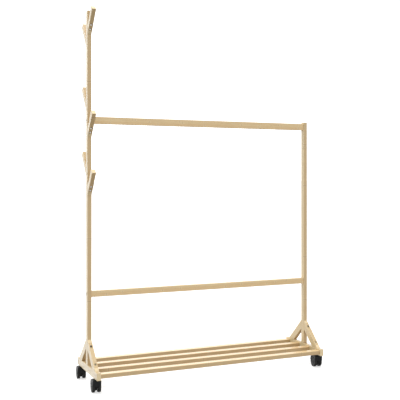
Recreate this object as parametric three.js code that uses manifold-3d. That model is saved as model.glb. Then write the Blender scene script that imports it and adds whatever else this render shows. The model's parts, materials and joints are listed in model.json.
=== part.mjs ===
// Rolling clothes rack of bamboo bars: two A-shaped ends joined by a hanging rail, a lower rail and a
// shelf of four slats, with six coat hooks on the tall left post and a twin-wheel caster near each end
// of the two foot beams.
// Millimetres. X runs along the rails (left to right), Y from front to back, Z up from the floor.
// The origin is on the floor, midway between the two ends and midway along the foot beams.
import * as THREE from "three";
import { mergeVertices } from "three/addons/utils/BufferGeometryUtils.js";
import Module from "manifold-3d";

const wasm = await Module();
wasm.setup();

// Whole rack
const RACK_WIDTH = 1214;
const FOOT_LENGTH = 348;
const TALL_POST_TOP = 1784;
const SHORT_POST_TOP = 1289;
const CASTER_HEIGHT = 65;

// Bamboo stock: every bar is 20 mm thick
const STOCK = 20;
const WIDE_STOCK = 35;
const POST_DEPTH = 28;
const LOWER_RAIL_HEIGHT = 30;
const EDGE_CHAMFER = 1.2;

// Heights of the rails' undersides
const TOP_RAIL_BOTTOM = 1246.5;
const LOWER_RAIL_BOTTOM = 422;

// Shelf
const SLAT_COUNT = 4;
const SLAT_INSET = 5;

// Braces: where the outer edge leaves the foot beam, and how far up the post it ends
const BRACE_FOOT_INSET = 30;
const BRACE_RISE = 122;
const BRACE_POST_BOLT_HEIGHT = 95;
const BRACE_FOOT_BOLT_INSET = 60;

// Coat hooks: heights of the lower outer corners on the tall post
const FRONT_HOOK_HEIGHTS = [1670, 1182.5, 907.5];
const BACK_HOOK_HEIGHTS = [1613.5, 1308, 995];
const HOOK_LEAN = THREE.MathUtils.degToRad(38);
const HOOK_LENGTH = 133;
const HOOK_SCREW_HEIGHTS = [22, 40];

// Fasteners: radii of head and shank, thickness of the head, how deep its seat lies below the face that
// it goes in through, and how far the shank bites into the next bar
const HOOK_SCREW = { head: 4, headHeight: 2.4, shank: 2, seat: 5, bite: 12 };
const BRACE_BOLT = { head: 4.8, headHeight: 3.6, shank: 2.5, seat: 6, bite: 12 };
const RAIL_BOLT = { head: 6, shank: 3.5, seat: 6, bite: 45 };
const SLAT_SCREW = { head: 4.6, shank: 2.3, seat: 3, bite: 28 };
const FOOT_BOLT = { head: 6, shank: 3, seat: 8, bite: 45 };
const FASTENER_FACETS = 12;
const HEAD_CLEARANCE = 0.5;
const HOLE_MOUTH = 30;

// Casters: the axle lies a trail's length behind the stem
const CASTER_INSET = 41;
const CASTER_TRAIL = 15.5;
const WHEEL_RADIUS = 25.5;
const WHEEL_FACETS = 24;
const WHEEL_INNER_FACE = 5;
const WHEEL_OUTER_FACE = 21;
const WHEEL_TAPER_RADIUS = 19;
const WHEEL_TAPER = 4;
const WHEEL_EDGE = 1.6;
const HOOD_WIDTH = 41;
const HOOD_TOP = 62;
const HOOD_FRONT = 28.5;
const HOOD_FRONT_CHAMFER = 3;
const HOOD_FRONT_BOTTOM = 7.5;
const HOOD_RADIUS = 30;
const HOOD_FLAT_END = 3;
const HOOD_TAIL_ANGLE = THREE.MathUtils.degToRad(12);
const HOOD_SHOULDER_ANGLE = THREE.MathUtils.degToRad(50);
const WHEEL_WELL_RADIUS = 27.1;
const WEB_WIDTH = 9;
const WEB_RADIUS = 17.5;
const BOSS_RADIUS = 6.3;
const BOSS_BOTTOM = 48;
const STEM_RADIUS = 4;
const STEM_BOTTOM = 50;
const STEM_COLLAR_RADIUS = 6.5;
const STEM_DEPTH_IN_FOOT = 28;
const AXLE_RADIUS = 3;
const AXLE_HALF_LENGTH = 17;

// Gap left between pieces that touch, and between a pin and its hole
const FIT_GAP = 0.3;

// Sizes that follow from the ones above
const FOOT_TOP = CASTER_HEIGHT + WIDE_STOCK;
const FOOT_MIDDLE = CASTER_HEIGHT + WIDE_STOCK / 2;
const END_CENTRE = (RACK_WIDTH - STOCK) / 2;
const SPAN = RACK_WIDTH - 2 * STOCK;
const POST_FACE = POST_DEPTH / 2;
const BRACE_RUN = FOOT_LENGTH / 2 - BRACE_FOOT_INSET - POST_FACE;
const BRACE_ANGLE = Math.atan2(BRACE_RISE, BRACE_RUN);
const SLAT_PITCH = (FOOT_LENGTH - 2 * SLAT_INSET - WIDE_STOCK) / (SLAT_COUNT - 1);
const RAIL_MIDDLES = [TOP_RAIL_BOTTOM + WIDE_STOCK / 2, LOWER_RAIL_BOTTOM + LOWER_RAIL_HEIGHT / 2];

const SIDES = [
  { name: "left", x: -END_CENTRE, outward: -1, postTop: TALL_POST_TOP },
  { name: "right", x: END_CENTRE, outward: 1, postTop: SHORT_POST_TOP },
];
const ENDS = [
  { name: "front", sign: -1, hookHeights: FRONT_HOOK_HEIGHTS },
  { name: "back", sign: 1, hookHeights: BACK_HOOK_HEIGHTS },
];

// How far every caster has swivelled at rest, anticlockwise from trailing straight back
const CASTER_SWIVEL = THREE.MathUtils.degToRad(-5);

const X_AXIS = new THREE.Vector3(1, 0, 0);
const Y_AXIS = new THREE.Vector3(0, 1, 0);
const Z_AXIS = new THREE.Vector3(0, 0, 1);
const ALONG_X = new THREE.Matrix4().makeBasis(Y_AXIS, Z_AXIS, X_AXIS);
const ALONG_Y = new THREE.Matrix4().makeBasis(Z_AXIS, X_AXIS, Y_AXIS);
const vec = (x, y, z) => new THREE.Vector3(x, y, z);

const bamboo = () => new THREE.MeshStandardMaterial({ color: 0xcba877, roughness: 0.5, metalness: 0 });
const darkSteel = () => new THREE.MeshStandardMaterial({ color: 0x4a4d50, roughness: 0.4, metalness: 1 });
const zinc = () => new THREE.MeshStandardMaterial({ color: 0xc9ccce, roughness: 0.3, metalness: 1 });
const nylon = () => new THREE.MeshStandardMaterial({ color: 0x17181a, roughness: 0.45, metalness: 0 });

const rack = new THREE.Group();

// ---- Solids and cuts ----

// A closed three.js geometry as a solid that can be cut and joined.
function solid(geometry) {
  const bare = geometry.index ? geometry.toNonIndexed() : geometry.clone();
  bare.deleteAttribute("normal");
  bare.deleteAttribute("uv");
  const merged = mergeVertices(bare, 1e-4);
  return new wasm.Manifold(
    new wasm.Mesh({
      numProp: 3,
      vertProperties: merged.attributes.position.array,
      triVerts: new Uint32Array(merged.index.array),
    }),
  );
}

// A solid's surface as a three.js geometry.
function surface(body) {
  const mesh = body.getMesh();
  const geometry = new THREE.BufferGeometry();
  geometry.setAttribute("position", new THREE.BufferAttribute(new Float32Array(mesh.vertProperties), 3));
  geometry.setIndex(new THREE.BufferAttribute(mesh.triVerts, 1));
  geometry.computeVertexNormals();
  return geometry;
}

// Cuts a list of holes from a bar.
function cut(geometry, holes) {
  return surface(holes.reduce((body, hole) => body.subtract(hole), solid(geometry)));
}

// Adds a named sub-part to a group.
function addPart(group, name, geometry, material, position = [0, 0, 0]) {
  const mesh = new THREE.Mesh(geometry, material);
  mesh.name = name;
  mesh.position.set(...position);
  group.add(mesh);
}

// Turns a shape whose axis is +Y so that it starts at a point and runs along a direction.
function aim(geometry, from, direction) {
  geometry.applyQuaternion(new THREE.Quaternion().setFromUnitVectors(Y_AXIS, direction));
  geometry.translate(from.x, from.y, from.z);
  return geometry;
}

// A straight round pin or hole that starts at a point and runs along a direction.
function rod(from, direction, radius, length, facets = FASTENER_FACETS) {
  const cylinder = new THREE.CylinderGeometry(radius, radius, length, facets);
  cylinder.translate(0, length / 2, 0);
  return solid(aim(cylinder, from, direction));
}

// A closed profile of [radius, place along the axis] points, turned about the Y axis.
function turned(profile, facets) {
  return new THREE.LatheGeometry(profile.map(([radius, along]) => new THREE.Vector2(radius, along)), facets);
}

// ---- Bars ----

// A rectangle with its four corners cut at 45 degrees.
function chamferedRectangle(width, height) {
  const w = width / 2;
  const h = height / 2;
  const c = EDGE_CHAMFER;
  const corners = [
    [-w + c, -h],
    [w - c, -h],
    [w, -h + c],
    [w, h - c],
    [w - c, h],
    [-w + c, h],
    [-w, h - c],
    [-w, -h + c],
  ];
  return new THREE.Shape(corners.map(([x, y]) => new THREE.Vector2(x, y)));
}

// Extrudes a shape along +Z about the middle of its depth, with a chamfer round both faces.
function extrude(shape, depth, chamfer) {
  const geometry = new THREE.ExtrudeGeometry(shape, {
    depth: depth - 2 * chamfer,
    bevelEnabled: true,
    bevelThickness: chamfer,
    bevelSize: chamfer,
    bevelOffset: -chamfer,
    bevelSegments: 1,
    curveSegments: 1,
  });
  geometry.translate(0, 0, chamfer - depth / 2);
  return geometry;
}

// A straight bar along +Z, centred on the origin.
const bar = (width, height, length) => extrude(chamferedRectangle(width, height), length, EDGE_CHAMFER / 2);

// A stick sawn from 20 mm stock to an outline of [Y, Z] points, centred on X = 0.
function sawnStick(outline) {
  const shape = new THREE.Shape(outline.map(([y, z]) => new THREE.Vector2(y, z)));
  return extrude(shape, STOCK, EDGE_CHAMFER).applyMatrix4(ALONG_X);
}

// ---- Fasteners and their holes ----

// A stepped hole: a wide mouth for the head down to the seat, then a narrower hole for the shank. The
// mouth starts outside the bar, because its face may slope.
function steppedHole(seat, direction, fastener, shankLength) {
  const mouthStart = seat.clone().addScaledVector(direction, -HOLE_MOUTH);
  const mouth = rod(mouthStart, direction, fastener.head + HEAD_CLEARANCE, HOLE_MOUTH);
  const shankStart = seat.clone().addScaledVector(direction, -1);
  const shank = rod(shankStart, direction, fastener.shank + FIT_GAP, shankLength + 1 + FIT_GAP);
  return mouth.add(shank);
}

const holeFor = (place, fastener) => steppedHole(place.seat, place.direction, fastener, place.shankLength);

// The two screws of a coat hook: each runs level from the hook's sloping outer face into the post.
function hookScrews(height, sign) {
  return HOOK_SCREW_HEIGHTS.map((rise) => {
    const thickness = rise * Math.tan(HOOK_LEAN);
    return {
      seat: vec(0, sign * (POST_FACE + thickness - HOOK_SCREW.seat), height + rise),
      direction: vec(0, -sign, 0),
      shankLength: thickness - HOOK_SCREW.seat + HOOK_SCREW.bite,
    };
  });
}

// The level bolt that holds a brace to the post.
function postBolt(sign) {
  const thickness = BRACE_RUN * (1 - BRACE_POST_BOLT_HEIGHT / BRACE_RISE);
  return {
    seat: vec(0, sign * (POST_FACE + thickness - BRACE_BOLT.seat), FOOT_TOP + BRACE_POST_BOLT_HEIGHT),
    direction: vec(0, -sign, 0),
    shankLength: thickness - BRACE_BOLT.seat + BRACE_BOLT.bite,
  };
}

// The upright bolt that holds a brace to the foot beam.
function beamBolt(sign) {
  const thickness = (BRACE_FOOT_BOLT_INSET - BRACE_FOOT_INSET) * Math.tan(BRACE_ANGLE);
  return {
    seat: vec(0, sign * (FOOT_LENGTH / 2 - BRACE_FOOT_BOLT_INSET), FOOT_TOP + thickness - BRACE_BOLT.seat),
    direction: vec(0, 0, -1),
    shankLength: thickness - BRACE_BOLT.seat + BRACE_BOLT.bite,
  };
}

// A stepped hole through an upright or a foot beam, from its outer face towards the rack's middle.
function sideHole(side, y, z, fastener) {
  const seat = vec(side.outward * (STOCK / 2 - fastener.seat), y, z);
  return steppedHole(seat, vec(-side.outward, 0, 0), fastener, STOCK);
}

// The blind holes in the two ends of a bar along X that the side holes lead into.
function endHoles(y, z, fastener) {
  return SIDES.map((side) =>
    rod(vec(side.outward * (SPAN / 2 + 1), y, z), vec(-side.outward, 0, 0), fastener.shank, fastener.bite),
  );
}

// A fastener in its stepped hole: a round head with a chamfered rim on a plain shank.
function addFastener(name, place, fastener, material, x) {
  const { head, headHeight, shank } = fastener;
  const profile = [
    [0, -headHeight - FIT_GAP],
    [head * 0.7, -headHeight - FIT_GAP],
    [head, -headHeight * 0.6],
    [head, -FIT_GAP],
    [shank, -FIT_GAP],
    [shank, place.shankLength - FIT_GAP],
    [0, place.shankLength - FIT_GAP],
  ];
  const geometry = aim(turned(profile, FASTENER_FACETS), place.seat, place.direction);
  addPart(rack, name, surface(solid(geometry)), material, [x, 0, 0]);
}

// ---- Ends ----

const slatMiddle = (index) => -FOOT_LENGTH / 2 + SLAT_INSET + WIDE_STOCK / 2 + index * SLAT_PITCH;

function addFootBeam(side) {
  const holes = ENDS.flatMap((end) => [
    rod(
      vec(0, end.sign * (FOOT_LENGTH / 2 - CASTER_INSET), CASTER_HEIGHT - 1),
      Z_AXIS,
      STEM_RADIUS + FIT_GAP,
      STEM_DEPTH_IN_FOOT + 1 + FIT_GAP,
    ),
    holeFor(beamBolt(end.sign), BRACE_BOLT),
  ]);
  holes.push(steppedHole(vec(0, 0, CASTER_HEIGHT + FOOT_BOLT.seat), Z_AXIS, FOOT_BOLT, WIDE_STOCK));
  for (let index = 0; index < SLAT_COUNT; index += 1) {
    holes.push(sideHole(side, slatMiddle(index), FOOT_MIDDLE, SLAT_SCREW));
  }
  const blank = bar(WIDE_STOCK, STOCK, FOOT_LENGTH).applyMatrix4(ALONG_Y);
  blank.translate(0, 0, FOOT_MIDDLE);
  addPart(rack, `foot_beam_${side.name}`, cut(blank, holes), bamboo(), [side.x, 0, 0]);
}

function addPost(side) {
  const bottom = FOOT_TOP + FIT_GAP;
  const length = side.postTop - bottom;
  const holes = RAIL_MIDDLES.map((z) => sideHole(side, 0, z, RAIL_BOLT));
  holes.push(rod(vec(0, 0, bottom - 1), Z_AXIS, FOOT_BOLT.shank, FOOT_BOLT.bite));
  ENDS.forEach((end) => {
    holes.push(holeFor(postBolt(end.sign), BRACE_BOLT));
    if (side.name === "left") {
      end.hookHeights
        .flatMap((height) => hookScrews(height, end.sign))
        .forEach((place) => holes.push(holeFor(place, HOOK_SCREW)));
    }
  });
  const blank = bar(STOCK, POST_DEPTH, length);
  blank.translate(0, 0, bottom + length / 2);
  addPart(rack, `post_${side.name}`, cut(blank, holes), bamboo(), [side.x, 0, 0]);
}

function addBrace(side, end) {
  const face = POST_FACE + FIT_GAP;
  const base = FOOT_TOP + FIT_GAP;
  const foot = FOOT_LENGTH / 2 - BRACE_FOOT_INSET;
  const outline = [
    [foot, base],
    [face, FOOT_TOP + BRACE_RISE],
    [face, FOOT_TOP + BRACE_RISE - WIDE_STOCK / Math.cos(BRACE_ANGLE)],
    [foot - WIDE_STOCK / Math.sin(BRACE_ANGLE), base],
  ].map(([y, z]) => [end.sign * y, z]);
  const label = `${side.name}_${end.name}`;
  const bolts = [postBolt(end.sign), beamBolt(end.sign)];
  const holes = bolts.map((place) => holeFor(place, BRACE_BOLT));
  addPart(rack, `brace_${label}`, cut(sawnStick(outline), holes), bamboo(), [side.x, 0, 0]);
  addFastener(`brace_bolt_${label}_upper`, bolts[0], BRACE_BOLT, darkSteel(), side.x);
  addFastener(`brace_bolt_${label}_lower`, bolts[1], BRACE_BOLT, darkSteel(), side.x);
}

// ---- Bars between the ends ----

function addCrossBar(name, width, height, y, z, fastener) {
  const blank = bar(width, height, SPAN - 2 * FIT_GAP).applyMatrix4(ALONG_X);
  blank.translate(0, y, z);
  addPart(rack, name, cut(blank, endHoles(y, z, fastener)), bamboo());
}

// ---- Coat hooks ----

function addHook(label, height, sign) {
  const face = POST_FACE + FIT_GAP;
  const tipY = face + HOOK_LENGTH * Math.sin(HOOK_LEAN);
  const tipZ = height + HOOK_LENGTH * Math.cos(HOOK_LEAN);
  const outline = [
    [face, height],
    [tipY, tipZ],
    [tipY - POST_DEPTH * Math.cos(HOOK_LEAN), tipZ + POST_DEPTH * Math.sin(HOOK_LEAN)],
    [face, height + POST_DEPTH / Math.sin(HOOK_LEAN)],
  ].map(([y, z]) => [sign * y, z]);
  const screws = hookScrews(height, sign);
  const holes = screws.map((place) => holeFor(place, HOOK_SCREW));
  addPart(rack, `coat_hook_${label}`, cut(sawnStick(outline), holes), bamboo(), [-END_CENTRE, 0, 0]);
  addFastener(`hook_screw_${label}_lower`, screws[0], HOOK_SCREW, zinc(), -END_CENTRE);
  addFastener(`hook_screw_${label}_upper`, screws[1], HOOK_SCREW, zinc(), -END_CENTRE);
}

// ---- Casters ----
// A caster is drawn trailing straight back: the stem stands at the origin and the axle lies behind it.

// The wheel on the +X side of the web, about the X axis: its flats touch the wheel's radius and one of
// them lies on the floor. The tread tapers towards the web, and the bore is blind.
function wheelGeometry() {
  const bore = AXLE_RADIUS + FIT_GAP;
  const boreEnd = AXLE_HALF_LENGTH + FIT_GAP;
  const toCorner = 1 / Math.cos(Math.PI / WHEEL_FACETS);
  const profile = [
    [bore, WHEEL_INNER_FACE],
    [WHEEL_TAPER_RADIUS, WHEEL_INNER_FACE],
    [WHEEL_RADIUS, WHEEL_INNER_FACE + WHEEL_TAPER],
    [WHEEL_RADIUS, WHEEL_OUTER_FACE - WHEEL_EDGE],
    [WHEEL_RADIUS - WHEEL_EDGE, WHEEL_OUTER_FACE],
    [0, WHEEL_OUTER_FACE],
    [0, boreEnd],
    [bore, boreEnd],
    [bore, WHEEL_INNER_FACE],
  ].map(([radius, along]) => [radius * toCorner, along]);
  const geometry = turned(profile, WHEEL_FACETS);
  geometry.rotateY(Math.PI / WHEEL_FACETS);
  geometry.rotateZ(-Math.PI / 2);
  return geometry;
}

// The hood: a flat-topped fender that curves down behind both wheels, a web between them that carries
// the axle, and a boss that turns on the stem.
function hoodGeometry() {
  const top = HOOD_TOP - WHEEL_RADIUS;
  const onArc = (angle) => [HOOD_RADIUS * Math.cos(angle), HOOD_RADIUS * Math.sin(angle)];
  const shoulder = onArc(HOOD_SHOULDER_ANGLE);
  const side = new THREE.Shape();
  side.moveTo(0, 0);
  side.lineTo(...onArc(HOOD_TAIL_ANGLE));
  side.absarc(0, 0, HOOD_RADIUS, HOOD_TAIL_ANGLE, HOOD_SHOULDER_ANGLE, false);
  side.quadraticCurveTo(shoulder[0] * 0.62, top, HOOD_FLAT_END, top);
  side.lineTo(-HOOD_FRONT + HOOD_FRONT_CHAMFER, top);
  side.lineTo(-HOOD_FRONT, top - HOOD_FRONT_CHAMFER);
  side.lineTo(-HOOD_FRONT, HOOD_FRONT_BOTTOM);
  side.closePath();
  const cover = new THREE.ExtrudeGeometry(side, { depth: HOOD_WIDTH, bevelEnabled: false, curveSegments: 6 });
  cover.translate(0, 0, -HOOD_WIDTH / 2);
  cover.applyMatrix4(ALONG_X);
  cover.translate(0, CASTER_TRAIL, WHEEL_RADIUS);
  const axle = vec(0, CASTER_TRAIL, WHEEL_RADIUS);
  const web = rod(axle.clone().setX(-WEB_WIDTH / 2), X_AXIS, WEB_RADIUS, WEB_WIDTH, 20);
  const boss = rod(vec(0, 0, BOSS_BOTTOM), Z_AXIS, BOSS_RADIUS, HOOD_TOP - BOSS_BOTTOM, 16);
  const wells = [-1, 1].map((way) =>
    rod(axle.clone().setX((way * WEB_WIDTH) / 2), vec(way, 0, 0), WHEEL_WELL_RADIUS, HOOD_WIDTH, 28),
  );
  const stemBore = rod(vec(0, 0, STEM_BOTTOM - FIT_GAP), Z_AXIS, STEM_RADIUS + FIT_GAP, HOOD_TOP);
  const axleBore = rod(axle.clone().setX(-HOOD_WIDTH / 2), X_AXIS, AXLE_RADIUS + FIT_GAP, HOOD_WIDTH);
  const shell = wells.reduce((body, well) => body.subtract(well), solid(cover));
  return surface(shell.add(web).add(boss).subtract(stemBore).subtract(axleBore));
}

// The stem: fixed in the foot beam, with a collar between the beam and the hood.
function stemGeometry() {
  const profile = [
    [0, STEM_BOTTOM],
    [STEM_RADIUS, STEM_BOTTOM],
    [STEM_RADIUS, HOOD_TOP + FIT_GAP],
    [STEM_COLLAR_RADIUS, HOOD_TOP + FIT_GAP],
    [STEM_COLLAR_RADIUS, CASTER_HEIGHT - FIT_GAP],
    [STEM_RADIUS, CASTER_HEIGHT - FIT_GAP],
    [STEM_RADIUS, CASTER_HEIGHT + STEM_DEPTH_IN_FOOT],
    [0, CASTER_HEIGHT + STEM_DEPTH_IN_FOOT],
  ];
  return aim(turned(profile, FASTENER_FACETS), vec(0, 0, 0), Z_AXIS);
}

function addCaster(side, end) {
  const label = `${end.name}_${side.name}`;
  const caster = new THREE.Group();
  caster.position.set(side.x, end.sign * (FOOT_LENGTH / 2 - CASTER_INSET), 0);
  caster.rotation.z = CASTER_SWIVEL;
  const atAxle = [0, CASTER_TRAIL, WHEEL_RADIUS];
  const axle = new THREE.CylinderGeometry(AXLE_RADIUS, AXLE_RADIUS, 2 * AXLE_HALF_LENGTH, FASTENER_FACETS);
  axle.rotateZ(Math.PI / 2);
  const farWheel = wheelGeometry().rotateZ(Math.PI);
  addPart(caster, `caster_${label}_stem`, surface(solid(stemGeometry())), darkSteel());
  addPart(caster, `caster_${label}_hood`, hoodGeometry(), nylon());
  addPart(caster, `caster_${label}_axle`, axle, zinc(), atAxle);
  addPart(caster, `caster_${label}_wheel_a`, surface(solid(wheelGeometry())), nylon(), atAxle);
  addPart(caster, `caster_${label}_wheel_b`, surface(solid(farWheel)), nylon(), atAxle);
  rack.add(caster);
}

// ---- Assembly ----

SIDES.forEach((side) => {
  addFootBeam(side);
  addPost(side);
  ENDS.forEach((end) => {
    addBrace(side, end);
    addCaster(side, end);
  });
});

addCrossBar("hanging_rail", STOCK, WIDE_STOCK, 0, RAIL_MIDDLES[0], RAIL_BOLT);
addCrossBar("lower_rail", STOCK, LOWER_RAIL_HEIGHT, 0, RAIL_MIDDLES[1], RAIL_BOLT);
for (let index = 0; index < SLAT_COUNT; index += 1) {
  addCrossBar(`shelf_slat_${index + 1}`, WIDE_STOCK, STOCK, slatMiddle(index), FOOT_MIDDLE, SLAT_SCREW);
}

ENDS.forEach((end) => {
  end.hookHeights.forEach((height, index) => addHook(`${end.name}_${index + 1}`, height, end.sign));
});

export default rack;
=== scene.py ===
import itertools
import json
import math
from typing import NamedTuple

import bpy
import numpy as np
from mathutils import Matrix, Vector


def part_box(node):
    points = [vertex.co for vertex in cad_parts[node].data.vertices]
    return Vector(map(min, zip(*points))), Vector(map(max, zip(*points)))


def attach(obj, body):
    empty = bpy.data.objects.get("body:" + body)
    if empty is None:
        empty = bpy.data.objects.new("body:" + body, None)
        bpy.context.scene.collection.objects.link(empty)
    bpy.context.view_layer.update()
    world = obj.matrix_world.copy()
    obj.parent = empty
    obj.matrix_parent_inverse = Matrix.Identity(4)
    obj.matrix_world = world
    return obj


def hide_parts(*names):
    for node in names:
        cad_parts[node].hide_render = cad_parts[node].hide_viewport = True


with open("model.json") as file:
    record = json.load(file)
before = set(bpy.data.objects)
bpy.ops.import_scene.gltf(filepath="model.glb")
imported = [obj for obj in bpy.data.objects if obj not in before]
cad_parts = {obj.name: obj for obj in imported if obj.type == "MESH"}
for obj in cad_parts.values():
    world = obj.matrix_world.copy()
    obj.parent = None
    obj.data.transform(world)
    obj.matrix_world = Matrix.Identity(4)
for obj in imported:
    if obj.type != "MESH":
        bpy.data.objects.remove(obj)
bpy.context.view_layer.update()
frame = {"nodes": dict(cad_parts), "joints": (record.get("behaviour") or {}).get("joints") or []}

MM = 0.001
UPRIGHT = np.eye(3)
X, Y, Z = UPRIGHT

# Bamboo stock
EDGE_ROUND = 1.8 * MM
END_ROUND = 0.9 * MM
STRIP_WIDTH = 7 * MM
BRACE_WIDTH = 35 * MM
HOOK_WIDTH = 28 * MM
HOOK_LEAN = math.radians(38)

# Depth from an upright's or foot beam's face down to the seat of each bolt that goes in there
RAIL_BOLT_SEAT = 6 * MM
SLAT_SCREW_SEAT = 3 * MM
FOOT_BOLT_SEAT = 8 * MM
HEAD_CLEARANCE = 0.5 * MM

# Length of each bolt and screw that stands in no CAD node, from its head's underside to its tip
RAIL_BOLT_LENGTH = 52 * MM
SLAT_SCREW_LENGTH = 42 * MM
FOOT_BOLT_LENGTH = 66 * MM

# Caster, measured from its axle's middle: x along the axle, y the way it trails, z up
HOOD_HALF_WIDTH = 20.5 * MM
HOOD_EDGE_ROUND = 1.6 * MM
HOOD_CROWN = 0.5 * MM
HOOD_FRONT = 28.5 * MM
HOOD_TAIL = 30 * MM
HOOD_TOP = 36.5 * MM
HOOD_INNER = 27.4 * MM
HOOD_FRONT_POWER = 9.0
HOOD_TAIL_POWER = 2.4
HOOD_ANGLES = (math.radians(12), math.radians(165))
WEB_HALF_WIDTH = 4.5 * MM
WEB_RADIUS = 17.5 * MM
BOSS_RADIUS = 6.3 * MM
BOSS_BOTTOM = 22.5 * MM
BOSS_FLOOR = 24.0 * MM
STEM_HOLE = 4.3 * MM
AXLE_HOLE = 3.3 * MM
AXLE_HALF_LENGTH = 16.7 * MM
AXLE_RADIUS = 3.0 * MM

# Reach of a drilled hole beyond its seat, and the slack used to tell its walls from the piece's own faces
DRILL_REACH = 40 * MM
DRILL_SLACK = 0.01 * MM
SHARP_ANGLE = math.radians(38)


# ---- Surfaces ----


def skin(rings, looped=False):
    """Rings of points joined one to the next by quads. The first and last rings are each closed by a flat
    face, or joined to each other when looped. Faces are turned outwards by the sign of the volume."""
    count, around = rings.shape[:2]
    index = np.arange(count * around).reshape(count, around)
    here, there = (index, np.roll(index, -1, 0)) if looped else (index[:-1], index[1:])
    quads = np.stack([here, np.roll(here, -1, 1), np.roll(there, -1, 1), there], -1).reshape(-1, 4)
    points = rings.reshape(-1, 3)
    faces = quads.tolist()
    if not looped:
        faces += [index[0][::-1].tolist(), index[-1].tolist()]
    a, b, c, d = (points[quads[:, k]] for k in range(4))
    middle = points.mean(0)
    volume = ((a - middle) * np.cross(b - middle, c - middle)).sum()
    volume += ((a - middle) * np.cross(c - middle, d - middle)).sum()
    if volume < 0:
        faces = [face[::-1] for face in faces]
    return points, faces


def new_object(name, skins):
    """One mesh object made of several closed skins."""
    points, faces, start = [], [], 0
    for skin_points, skin_faces in skins:
        points.append(skin_points)
        faces += [[corner + start for corner in face] for face in skin_faces]
        start += len(skin_points)
    mesh = bpy.data.meshes.new(name)
    mesh.from_pydata(np.concatenate(points).tolist(), [], faces)
    mesh.update()
    made = bpy.data.objects.new(name, mesh)
    bpy.context.scene.collection.objects.link(made)
    return made


def turned(profile, origin, axes, segments=64):
    """A profile of [radius, height] points turned about the third axis: at each angle the point lies
    radius along the first two axes' circle, and height along the third."""
    profile = np.asarray(profile, float)
    angle = np.linspace(0, 2 * math.pi, segments, endpoint=False)
    circle = np.cos(angle)[:, None] * axes[0] + np.sin(angle)[:, None] * axes[1]
    rings = profile[:, 0, None, None] * circle + profile[:, 1, None, None] * axes[2]
    return skin(rings + origin)


def drill(piece, holes):
    """Cuts round holes from a piece. Each hole is (seat, direction out of the piece, radius, and how dark
    the painted shade on its walls is, which is written for each face of the piece)."""
    rods = []
    for seat, outward, radius, _ in holes:
        axes = axes_about(outward)
        rods.append(turned([[radius, 0], [radius, DRILL_REACH]], seat, axes, 40))
    cutter = new_object("drill", rods)
    cut = piece.modifiers.new("holes", "BOOLEAN")
    cut.operation = "DIFFERENCE"
    cut.solver = "EXACT"
    cut.object = cutter
    evaluated = piece.evaluated_get(bpy.context.evaluated_depsgraph_get())
    drilled = bpy.data.meshes.new_from_object(evaluated)
    piece.modifiers.clear()
    piece.data = drilled
    bpy.data.objects.remove(cutter)
    middles = np.empty(len(drilled.polygons) * 3, np.float32)
    drilled.polygons.foreach_get("center", middles)
    middles = middles.reshape(-1, 3)
    # Painted shade: the faces of each hole's wall get the hole's shade value, for the bamboo to darken by.
    bore_shading = np.zeros(len(middles), np.float32)
    for seat, outward, radius, dark in holes:
        up = (middles - seat) @ outward
        aside = np.linalg.norm(middles - seat - up[:, None] * outward, axis=1)
        bore_shading[(aside < radius + DRILL_SLACK) & (up > -DRILL_SLACK)] = dark
    bored = drilled.attributes.new("bore", "FLOAT", "FACE")
    bored.data.foreach_set("value", bore_shading)


def axes_about(direction):
    """Three unit vectors at right angles, right-handed, the third along the direction."""
    direction = np.asarray(direction, float)
    aside = Z if abs(direction[2]) < 0.9 else X
    first = np.cross(aside, direction)
    first /= np.linalg.norm(first)
    return np.array([first, np.cross(direction, first), direction])


def write_vectors(mesh, name, values):
    """Stores a vector for each vertex of the mesh under a name that materials read."""
    attribute = mesh.attributes.new(name, "FLOAT_VECTOR", "POINT")
    attribute.data.foreach_set("vector", np.ascontiguousarray(values, np.float32).ravel())


def complete(piece, body, material, origin, axes, stands_for=(), stock=None):
    """Shades a piece smoothly between sharp edges, writes its own coordinates (the place of each vertex
    from the origin, along the axes) and hands it to its body."""
    mesh = piece.data
    points = np.empty(len(mesh.vertices) * 3, np.float32)
    mesh.vertices.foreach_get("co", points)
    points = points.reshape(-1, 3)
    write_vectors(mesh, "place", (points - origin) @ np.asarray(axes).T)
    if stock is not None:
        write_vectors(mesh, "stock", np.tile(stock, (len(points), 1)))
    mesh.materials.clear()
    mesh.materials.append(material)
    mesh.shade_smooth()
    mesh.set_sharp_from_angle(angle=SHARP_ANGLE)
    even = piece.modifiers.new("even_shading", "WEIGHTED_NORMAL")
    even.keep_sharp = True
    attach(piece, body)
    if stands_for:
        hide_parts(*stands_for)
    return piece


# ---- Shader maths ----


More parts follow.
